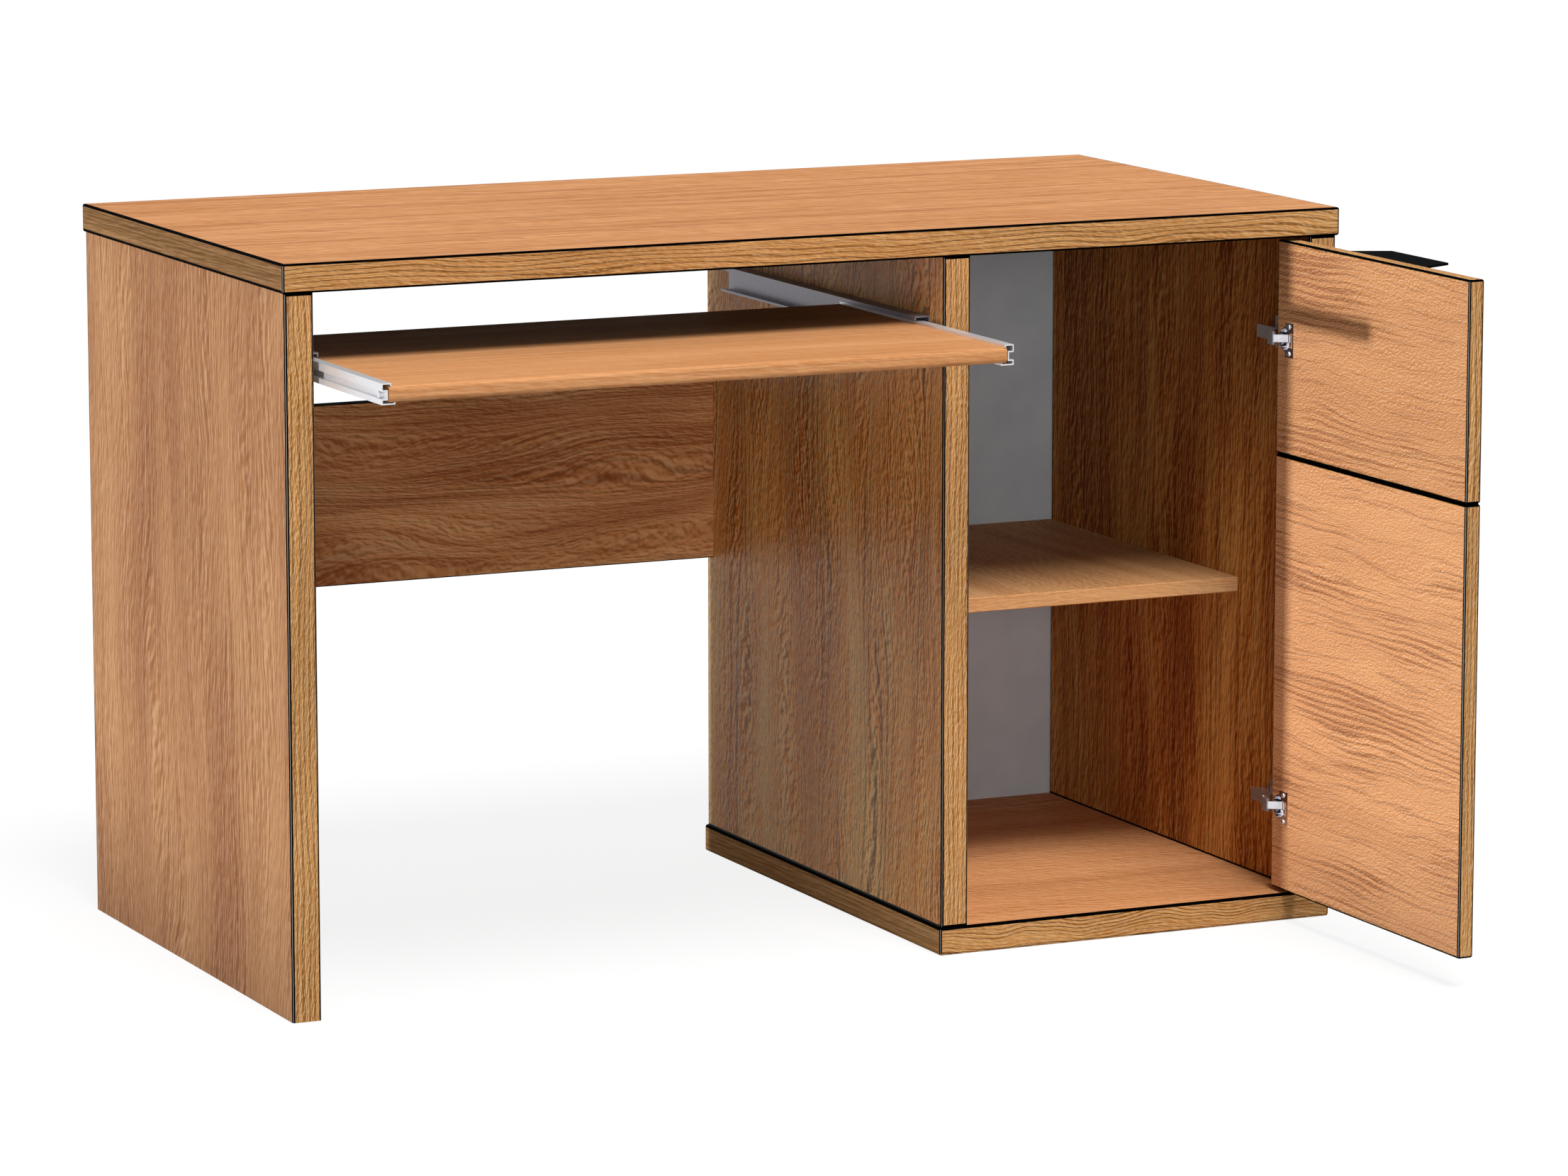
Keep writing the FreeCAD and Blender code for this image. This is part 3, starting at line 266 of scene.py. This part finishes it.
# boards; the uprights have wide year lines, and the joint is the mm of dark line at a panel's foot
uprightLook = {"grain": "z", "stray": 2, "zoning": 4}
doorLook = {
    "grain": "y", "bends": ((260, 90, 28), (60, 16, 5)), "tone": (400, 40), "zone": (300, 60),
    "ring": 8, "stray": 6, "ringColour": "#84400c", "ringShare": 0.6,
    "vein": (120, 3.6), "veinColour": "#783404", "veinShare": 0.4,
    "pore": (4, 1.5), "poreColour": "#9a5a28", "poreShare": 0.28, "glint": "#ffecd0", "glintShare": 0.3,
    "bump": 0.5, "gloss": 0.1,
}
boards = {
    "desk_top_board": {
        "offset": (0.3, -0.25, 0), "wood": ("#c68856", "#ce905e", "#d69967"), "backing": "#2a1c13",
        "ring": 34, "ringShare": 0.36, "vein": (220, 10), "veinShare": 0.45,
        "pore": (36, 4), "poreShare": 0.45, "glintShare": 0.1, "bump": 0.1, "roughness": 0.6},
    "left_leg_board": {
        **uprightLook, "offset": (0.1, 0.15, 0), "wood": ("#966443", "#a87751", "#ba8a60"),
        "bends": ((520, 120, 120), (60, 12, 3)), "tone": (900, 150),
        "ring": 14, "ringColour": "#6e3f22", "ringShare": 0.4, "veinColour": "#6e3f22", "veinShare": 0.2,
        "pore": (20, 2.8), "poreColour": "#6e4023", "poreShare": 0.38,
        "glint": "#dcb48e", "glintShare": 0.32, "bump": 0.18},
    # this panel is printed brighter and more golden than the other boards to make up for the shade on it:
    # painted light
    "middle_panel_board": {
        **uprightLook, "offset": (-0.2, 0.3, 0), "wood": ("#d27a30", "#f2a24e", "#ffc67c"), "joint": 2.3,
        "bends": ((480, 110, 120), (60, 12, 3)), "tone": (900, 150),
        "ring": 13, "ringColour": "#5a2c08", "ringShare": 0.62, "veinColour": "#74411a", "veinShare": 0.15,
        "pore": (10, 2.8), "poreColour": "#4e270a", "poreShare": 0.6,
        "glint": "#ffe0a8", "glintShare": 0.55, "bump": 0.55, "roughness": 0.34, "gloss": 0.12},
    # the cupboard's inner wall is printed darker and redder than the other boards: a painted shade for the
    # dim cupboard
    "right_panel_board": {
        **uprightLook, "offset": (0.6, 0.05, 0), "wood": ("#8f4a1c", "#b8722f", "#dca258"), "joint": 2.3,
        "tone": (800, 130), "ring": 12, "ringColour": "#5c2c0c", "ringShare": 0.55,
        "veinColour": "#6f3915", "pore": (14, 3.4), "poreColour": "#341404", "poreShare": 0.5,
        "glint": "#eab878", "glintShare": 0.36, "bump": 0.18},
    "base_board": {
        "offset": (1.3, 0.2, 0), "ring": 9, "ringShare": 0.4, "pore": (16, 3), "poreShare": 0.4,
        "glintShare": 0.26},
    "modesty_panel": {
        "offset": (0.35, 0.45, 0), "wood": ("#ab673a", "#cf8b57", "#eeb078"),
        "bends": ((420, 80, 90), (70, 16, 4)), "tone": (500, 100),
        "ring": 6, "ringColour": "#74401c", "ringShare": 0.45,
        "vein": (130, 5), "veinColour": "#7c4420", "veinShare": 0.3,
        "pore": (11, 2.2), "poreColour": "#6e3a18", "poreShare": 0.42},
    "keyboard_tray": {
        "offset": (2.3, 0.7, 0), "bends": ((700, 160, 40),), "ring": 19, "ringShare": 0.16,
        "veinShare": 0.18, "pore": (20, 3), "poreShare": 0.2, "glintShare": 0.14, "gloss": 0.005},
    "cabinet_shelf": {
        "grain": "y", "endGrain": "x", "offset": (1.9, -0.4, 0), "wood": ("#c68d5c", "#ce9866", "#d6a370"),
        "bends": ((500, 140, 90), (60, 14, 3)), "ringColour": "#96622f", "veinColour": "#9c6c38",
        "pore": (14, 2.2), "poreColour": "#7c4e22", "poreShare": 0.24,
        "glint": "#eed0a2", "glintShare": 0.14},
    # the upper door panel is printed a little darker than the lower one: a painted shade
    "upper_door_panel": {
        **doorLook, "offset": (0.9, 0.1, 0), "wood": ("#c78a58", "#cc8f5c", "#d29662")},
    "lower_door_panel": {
        **doorLook, "offset": (0.2, 0.5, 0), "wood": ("#d49562", "#d99a66", "#dfa16c")},
}
for name, look in boards.items():
    if "joint" in look:
        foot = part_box(name)[0][2]
        look = {**look, "joint": foot + look["joint"] * mm}
    dress(name, oakFoil("oakFoil_" + name, **look))
print("boards have their oak foil")

# edge bands: thick oak tape with a close wavy grain, its arrises milled round and stained black
bandLook = {
    "bends": ((260, 40, 16), (70, 11, 2)), "wood": ("#bb854a", "#c68f54", "#d29c60"),
    "tone": (160, 9), "zone": (200, 20),
    "ring": 5.4, "stray": 0.6, "zoning": 2, "crowd": 0.5, "ringColour": "#64380c", "ringShare": 0.6,
    "vein": (50, 3), "veinColour": "#7d4c1c",
    "pore": (8, 1.2), "poreColour": "#5f330a", "poreShare": 0.42, "glint": "#ffe6ba", "glintShare": 0.34,
    "gloss": 0.003,  # next to none, or the stain would turn grey
}
# bands along the front and the back roll in waves
waveLook = {
    "bends": ((200, 50, 26), (70, 11, 2)), "ringShare": 0.7,
    "pore": (12, 1.2), "poreShare": 0.34, "glintShare": 0.26,
}
# bands of the two ends run greyer and straighter
endLook = {
    "bends": ((300, 12, 5),), "wood": ("#7c5a3a", "#886441", "#97714d"), "tone": (400, 8),
    "ringColour": "#452d19", "ringShare": 0.28, "vein": (170, 3), "veinColour": "#4d341f",
    "pore": (40, 2), "poreColour": "#432b17", "poreShare": 0.36, "glint": "#b3926b", "glintShare": 0.25,
}
# bands of the base: shorter waves along the front and the back, and ends printed paler to make up for the
# shade they lie in: painted light
baseLooks = {
    "x": {"bends": ((90, 60, 30), (40, 9, 2)), "ring": 4.4, "ringShare": 0.8},
    "y": {
        "wood": ("#c0905a", "#d09e68", "#e2b07a"), "ringColour": "#5a3818", "veinColour": "#6a4420",
        "poreColour": "#553314", "glint": "#f0c898"},
}
tapeStep = (0.37, 0.11, 0.05)  # m from one band to the next, as if all were cut from one tape
# the grain of each band, and the mm of black along its lower or left and its upper or right side;
# the bands of the base are bare below
bands = {
    "desk_top_front_band": ("x", 1.2, 1.8), "desk_top_back_band": ("x", 1.2, 1.8),
    # below the end bands of the top the black is wide enough to stand in also for the shadow in the gap over
    # the legs: partly painted shade
    "desk_top_left_band": ("y", 3.4, 2.4), "desk_top_right_band": ("y", 3.4, 2.4),
    "left_leg_front_band": ("z", 2.6, 2.2), "left_leg_back_band": ("z", 2.6, 2.2),
    "middle_panel_front_band": ("z", 1.2, 1.6), "middle_panel_back_band": ("z", 1.2, 1.6),
    "right_panel_front_band": ("z", 1.6, 1.6), "right_panel_back_band": ("z", 1.6, 1.6),
    "base_front_band": ("x", None, 3.0), "base_back_band": ("x", None, 3.0),
    "base_left_band": ("y", None, 3.0), "base_right_band": ("y", None, 3.0),
    "upper_door_bands": ("y", 0, 0), "lower_door_bands": ("y", 0, 0),
}
for index, (name, (grain, below, above)) in enumerate(bands.items()):
    low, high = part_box(name)
    axis = 0 if grain == "z" else 2
    edges = (axis, None if below is None else low[axis] + below * mm, high[axis] - above * mm)
    offset = [step * index for step in tapeStep]
    look = {**bandLook, "grain": grain, "offset": offset, "edges": edges}
    if name.endswith("door_bands"):
        look["endGrain"] = "z"
    elif grain == "x":
        look.update(waveLook)
    elif grain == "y":
        look.update(endLook)
    if name.startswith("base"):
        look.update(baseLooks[grain])
    dress(name, oakFoil("oakTape_" + name, **look))
print("edge bands done")

# depth in mm
steelGrain = {"detail": 3, "stops": (0.35, 0.65), "roughSwing": 0.03, "bump": 0.03, "depth": 0.1}


def platedSteel(name, look):
    # plated sheet steel: pale, with faint drawing lines and a soft cloudiness
    material, tree, shader = newMaterial(name)
    place = addNode(tree, "TexCoord")
    length, width = look["lines"]
    turned = addNode(tree, "Mapping", {
        "Vector": place.outputs["Object"], "Rotation": grainTurns[look["grain"]],
        "Scale": (1 / (length * mm), 1 / (width * mm), 1 / (width * mm))})
    lines = addNode(tree, "TexNoise", {"Vector": turned, "Scale": 1.0, "Detail": steelGrain["detail"]})
    tones = tuple(zip(steelGrain["stops"], (look["dark"], look["light"])))
    colour = addNode(tree, "ValToRGB", {0: lines}, stops=tones)
    swing = steelGrain["roughSwing"]
    rough = addNode(tree, "MapRange", {
        0: lines, 3: look["roughness"] - swing, 4: look["roughness"] + swing})
    bump = addNode(tree, "Bump", {
        "Height": lines, "Strength": steelGrain["bump"], "Distance": steelGrain["depth"] * mm})
    for socket, node in (("Base Color", colour), ("Roughness", rough), ("Normal", bump)):
        tree.links.new(node.outputs[0], shader.inputs[socket])
    shader.inputs["Metallic"].default_value = look["metallic"]
    return material


# a cloud is 40 grits wide, and the depth is in mm
surfaceGrain = {
    "cloud": 40, "cloudDetail": 2, "gritDetail": 3, "stops": (0.3, 0.7), "roughSwing": 0.07, "depth": 0.3,
}


def grittySurface(name, look):
    # moulded or sprayed surface: one colour with soft clouds and a fine grit
    material, tree, shader = newMaterial(name)
    place = addNode(tree, "TexCoord").outputs["Object"]
    gritSize = look["grit"] * mm
    cloudSize = surfaceGrain["cloud"] * gritSize
    grit = addNode(tree, "TexNoise", {
        "Vector": place, "Scale": 1 / gritSize, "Detail": surfaceGrain["gritDetail"]})
    cloud = addNode(tree, "TexNoise", {
        "Vector": place, "Scale": 1 / cloudSize, "Detail": surfaceGrain["cloudDetail"]})
    tones = tuple(zip(surfaceGrain["stops"], (look["dark"], look["light"])))
    colour = addNode(tree, "ValToRGB", {0: cloud}, stops=tones)
    swing = surfaceGrain["roughSwing"]
    rough = addNode(tree, "MapRange", {
        0: grit, 3: look["roughness"] - swing, 4: look["roughness"] + swing})
    bump = addNode(tree, "Bump", {
        "Height": grit, "Strength": look["bump"], "Distance": surfaceGrain["depth"] * mm})
    for socket, node in (("Base Color", colour), ("Roughness", rough), ("Normal", bump)):
        tree.links.new(node.outputs[0], shader.inputs[socket])
    shader.inputs["Specular IOR Level"].default_value = look["gloss"]
    return material


# lines: length and width in mm of the drawing lines
steels = {
    # rolled strip with a white zinc coat: nearly white, with a dull sheen along its length
    "zincPlatedSteel": {
        "light": "#e2e2e5", "dark": "#dddde1", "roughness": 0.34, "metallic": 0.5,
        "lines": (300, 5), "grain": "y"},
    # strip drawn through molten zinc: a flat mid grey
    "galvanisedSteel": {
        "light": "#8e8a93", "dark": "#86828b", "roughness": 0.4, "metallic": 0.45,
        "lines": (400, 6), "grain": "y"},
    # stampings with a satin nickel coat: bright, with softly blurred reflections
    "satinNickelSteel": {
        "light": "#e4e2e8", "dark": "#d8d6dc", "roughness": 0.13, "metallic": 0.8,
        "lines": (30, 4), "grain": "z"},
    # pressed and polished under its nickel coat: a clear mirror, dark where it meets the dark
    "nickelPlatedSteel": {
        "light": "#f0eef2", "dark": "#e6e4e9", "roughness": 0.09, "metallic": 1.0,
        "lines": (30, 4), "grain": "z"},
    # turned wire: greyer, with fine uneven lines
    "turnedScrewSteel": {
        "light": "#d2d0d3", "dark": "#a5a3a6", "roughness": 0.22, "metallic": 0.9,
        "lines": (4, 0.5), "grain": "x"},
}
# grit: its size in mm
surfaces = {
    # injection moulded: nearly black, with a fine matt grit
    "mouldedPolypropylene": {
        "dark": "#060607", "light": "#0c0c0d", "roughness": 0.6, "bump": 0.12, "grit": 0.5, "gloss": 0.01},
    # sprayed and baked: black, rough to the touch and without shine
    "powderCoatedSteel": {
        "dark": "#050506", "light": "#0a0a0c", "roughness": 0.75, "bump": 0.2, "grit": 0.4,
        "gloss": 0.003},
    # paper soaked in resin: the deepest black, smooth and flat
    "blackMelamineTape": {
        "dark": "#030304", "light": "#070708", "roughness": 0.7, "bump": 0.06, "grit": 0.8,
        "gloss": 0.003},
    # pressed fibre with lacquer rolled on: a matt white, given a little blue to cancel the reddish light the
    # wood bounces on it: a painted correction of light
    "lacqueredHardboard": {
        "dark": "#bfc8cf", "light": "#c8d0d6", "roughness": 0.7, "bump": 0.05, "grit": 1.2, "gloss": 0.04},
}
finishes = {name: platedSteel(name, look) for name, look in steels.items()}
finishes.update({name: grittySurface(name, look) for name, look in surfaces.items()})
# turned beech: pale and plain, with short flecks
finishes["beechDowel"] = oakFoil(
    "beechDowel", wood=("#c9a67c", "#d8b98f", "#e2c8a2"), ringColour="#b8925f", veinColour="#b8925f",
    poreColour="#b08a5c")
wearers = {
    "zincPlatedSteel": (
        "left_tray_rail", "right_tray_rail", "tray_stop_pin", "shelf_pins", "back_panel_nails"),
    "galvanisedSteel": ("left_case_rail", "right_case_rail", "case_rail_screws"),
    "satinNickelSteel": ("upper_hinge_arm", "lower_hinge_arm", "upper_hinge_plate", "lower_hinge_plate"),
    "nickelPlatedSteel": ("upper_hinge_cup", "lower_hinge_cup", "hinge_pins"),
    "turnedScrewSteel": (
        "tray_rail_screws", "handle_screws", "hinge_plate_screws", "hinge_fixing_screws",
        "hinge_cup_screws"),
    "mouldedPolypropylene": (
        "left_rail_guide", "right_rail_guide", "left_rear_glide", "right_rear_glide"),
    "powderCoatedSteel": ("door_handle",),
    "blackMelamineTape": ("door_joining_strip", "modesty_top_band", "modesty_bottom_band"),
    "lacqueredHardboard": ("cabinet_back",),
    "beechDowel": ("carcass_dowels", "door_dowels"),
}
for finish, names in wearers.items():
    for name in names:
        dress(name, finishes[finish])
print("metal, plastic and hardboard done")

# cross-head screws: a domed head with a pressed recess, each in the place of a plain one
screwLook = {
    "steps": 28, "sharpAngle": 32,
    # shares of the head's radius: its flat crown, and length and half width of the recess's arms
    "flat": 0.62, "arm": 0.46, "half": 0.11,
    # the dome below the crown, as shares of the head's radius and height
    "dome": ((0.86, 0.2), (1.0, 0.62), (1.0, 1.0)),
    "depth": 0.7, "taper": 0.75, "tip": 0.2,
}
screwBodies = {
    "hinge_plate_screws": "carcass", "hinge_fixing_screws": "carcass", "hinge_cup_screws": "door",
    "handle_screws": "door", "tray_rail_screws": "tray",
}
sameVertex = 0.001 * mm
sameLevel = 0.01 * mm


def separateSolids(name):
    shape = bmesh.new()
    shape.from_mesh(nodes[name].data)
    bmesh.ops.remove_doubles(shape, verts=shape.verts, dist=sameVertex)
    left = set(shape.verts)
    while left:
        front = {left.pop()}
        solid = set(front)
        while front:
            front = {edge.other_vert(vert) for vert in front for edge in vert.link_edges} - solid
            solid |= front
        left -= solid
        yield [vert.co.copy() for vert in solid]
    shape.free()


def measureScrew(points):
    # the axis is the longest side of its box, and the head is at the wider end
    low, high = [Vector(pick(p[i] for p in points) for i in range(3)) for pick in (min, max)]
    axis = max(range(3), key=lambda i: high[i] - low[i])
    middle = (low + high) / 2
    ends = {}
    for end in (low[axis], high[axis]):
        radii = []
        for point in points:
            if abs(point[axis] - end) < sameLevel:
                away = point - middle
                away[axis] = 0
                radii.append(away.length)
        ends[end] = max(radii)
    top, tip = sorted(ends, key=ends.get, reverse=True)
    out = Vector((0, 0, 0))
    out[axis] = 1 if top > tip else -1
    place = middle.copy()
    place[axis] = top
    levels = sorted({round(abs(point[axis] - top), 6) for point in points})
    turn = out.to_track_quat("Z", "Y").to_matrix().to_4x4()
    return Matrix.Translation(place) @ turn, ends[top], ends[tip], levels[1], levels[-1]


def addScrew(shape, place, headRadius, shankRadius, headHeight, length):
    look = screwLook
    flat, arm, half = [look[part] * headRadius for part in ("flat", "arm", "half")]
    crown = bmesh.ops.create_circle(shape, segments=look["steps"], radius=flat)["verts"]
    rim = list({edge for vert in crown for edge in vert.link_edges})
    corners = [
        shape.verts.new(Matrix.Rotation(turn * pi / 2, 3, "Z") @ Vector(point))
        for turn in range(4) for point in ((arm, -half, 0), (arm, half, 0), (half, half, 0))]
    cross = [shape.edges.new((corners[i - 1], corner)) for i, corner in enumerate(corners)]
    bmesh.ops.triangle_fill(shape, edges=rim + cross, use_beauty=True)
    grown = set(crown + corners)
    # radius and depth of each ring round the outside, then of the recess
    outside = [(radius * headRadius, depth * headHeight) for radius, depth in look["dome"]]
    outside += [
        (shankRadius, headHeight), (shankRadius, length - shankRadius),
        (look["tip"] * shankRadius, length)]
    inside = [(look["taper"] * flat, look["depth"] * headHeight)]
    for edges, rings in ((rim, outside), (cross, inside)):
        radius, depth = flat, 0
        for newRadius, newDepth in rings:
            built = bmesh.ops.extrude_edge_only(shape, edges=edges)["geom"]
            ring = [item for item in built if isinstance(item, bmesh.types.BMVert)]
            share = newRadius / radius
            bmesh.ops.scale(shape, verts=ring, vec=(share, share, 1))
            bmesh.ops.translate(shape, verts=ring, vec=(0, 0, depth - newDepth))
            edges = [edge for edge in shape.edges if edge.verts[0] in ring and edge.verts[1] in ring]
            grown.update(ring)
            radius, depth = newRadius, newDepth
        bmesh.ops.triangle_fill(shape, edges=edges, use_beauty=True)
    bmesh.ops.transform(shape, matrix=place, verts=list(grown))


for name, body in screwBodies.items():
    shape = bmesh.new()
    for points in separateSolids(name):
        addScrew(shape, *measureScrew(points))
    bmesh.ops.recalc_face_normals(shape, faces=shape.faces)
    mesh = bpy.data.meshes.new("crossHead_" + name)
    shape.to_mesh(mesh)
    shape.free()
    mesh.materials.append(finishes["turnedScrewSteel"])
    mesh.shade_smooth()
    mesh.set_sharp_from_angle(angle=radians(screwLook["sharpAngle"]))
    screws = bpy.data.objects.new("crossHead_" + name, mesh)
    scene.collection.objects.link(screws)
    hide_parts(name)
    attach(screws, body)
print("screws done")


def seenRay(tree):
    # 1 for a ray of the eye, a gloss or a glass, and 0 for light on its way
    path = addNode(tree, "LightPath")
    eyed = addNode(tree, "Math", {
        0: path.outputs["Is Camera Ray"], 1: path.outputs["Is Glossy Ray"]}, operation="MAXIMUM")
    return addNode(tree, "Math", {0: eyed, 1: path.outputs["Is Transmission Ray"]}, operation="MAXIMUM")


# floor: matt white paper, grey in the light it gives back, white to the eye with a light shadow
floorLook = {"size": 40.0, "drop": 0.0004, "bounce": "#acacac", "shadowShare": 0.14}  # size and drop in m
floorMesh = bpy.data.meshes.new("studioFloor")
shape = bmesh.new()
bmesh.ops.create_grid(shape, x_segments=1, y_segments=1, size=floorLook["size"] / 2)
bmesh.ops.translate(shape, verts=shape.verts, vec=(0, 0, -floorLook["drop"]))
shape.to_mesh(floorMesh)
shape.free()
floor = bpy.data.objects.new("studioFloor", floorMesh)
scene.collection.objects.link(floor)
paper = bpy.data.materials.new("whitePaper")
paper.use_nodes = True
tree = paper.node_tree
tree.nodes.clear()
plain = addNode(tree, "BsdfDiffuse", {"Color": floorLook["bounce"]})
catcher = addNode(tree, "BsdfDiffuse", {"Color": "#ffffff"})
glow = addNode(tree, "Emission", {"Color": "#ffffff", "Strength": 1.0})
seen = addNode(tree, "MixShader", {0: floorLook["shadowShare"], 1: glow, 2: catcher})
either = addNode(tree, "MixShader", {0: seenRay(tree), 1: plain, 2: seen})
addNode(tree, "OutputMaterial", {"Surface": either})
floorMesh.materials.append(paper)

# sky: a soft fill from above, weak near the horizon, and white where the eye or a gloss meets it
skyLook = {"low": 0.01, "high": 0.4, "from": 0.2, "to": 0.7}
world = bpy.data.worlds.new("studioSky")
scene.world = world
world.use_nodes = True
tree = world.node_tree
tree.nodes.clear()
height = addNode(tree, "SeparateXYZ", {0: addNode(tree, "TexCoord").outputs["Generated"]})
fill = addNode(tree, "MapRange", {
    0: height.outputs[2], 1: skyLook["from"], 2: skyLook["to"], 3: skyLook["low"], 4: skyLook["high"]})
strength = addNode(tree, "Mix", {0: seenRay(tree), 2: fill, 3: 1.0})
back = addNode(tree, "Background", {"Color": "#ffffff", "Strength": strength})
addNode(tree, "OutputWorld", {"Surface": back})

# lamps: a broad high one in front, a level one from the left, and a weak level one that fills the cupboard;
# spread in degrees
lamps = {
    "keyLight": {"towards": (0.03, 0.50, -0.86), "strength": 3.0, "spread": 24},
    "sideLight": {"towards": (1.0, -0.0065, 0.0005), "strength": 2.4, "spread": 1.2},
    "frontLight": {"towards": (0.26, 0.965, -0.03), "strength": 0.85, "spread": 26},
}
for name, look in lamps.items():
    data = bpy.data.lights.new(name, "SUN")
    data.energy = look["strength"]
    data.angle = radians(look["spread"])
    lamp = bpy.data.objects.new(name, data)
    lamp.rotation_euler = Vector(look["towards"]).to_track_quat("-Z", "Y").to_euler()
    scene.collection.objects.link(lamp)

# camera, unshifted, solved from the corners of the desk; place and reach in m, heading and pitch in degrees,
# lens and sensor in mm
cameraLook = {
    "place": (-2.9478, -6.3128, 1.5679), "heading": 25.0378, "pitch": 9.6365,
    "lens": 154.432, "sensor": 36, "reach": 100,
}
cameraData = bpy.data.cameras.new("photoCamera")
cameraData.sensor_width = cameraLook["sensor"]
cameraData.lens = cameraLook["lens"]
cameraData.clip_end = cameraLook["reach"]
camera = bpy.data.objects.new("photoCamera", cameraData)
camera.location = cameraLook["place"]
camera.rotation_euler = (radians(90 - cameraLook["pitch"]), 0, radians(-cameraLook["heading"]))
scene.collection.objects.link(camera)
scene.camera = camera
scene.view_settings.view_transform = "Standard"
print("light and camera set")
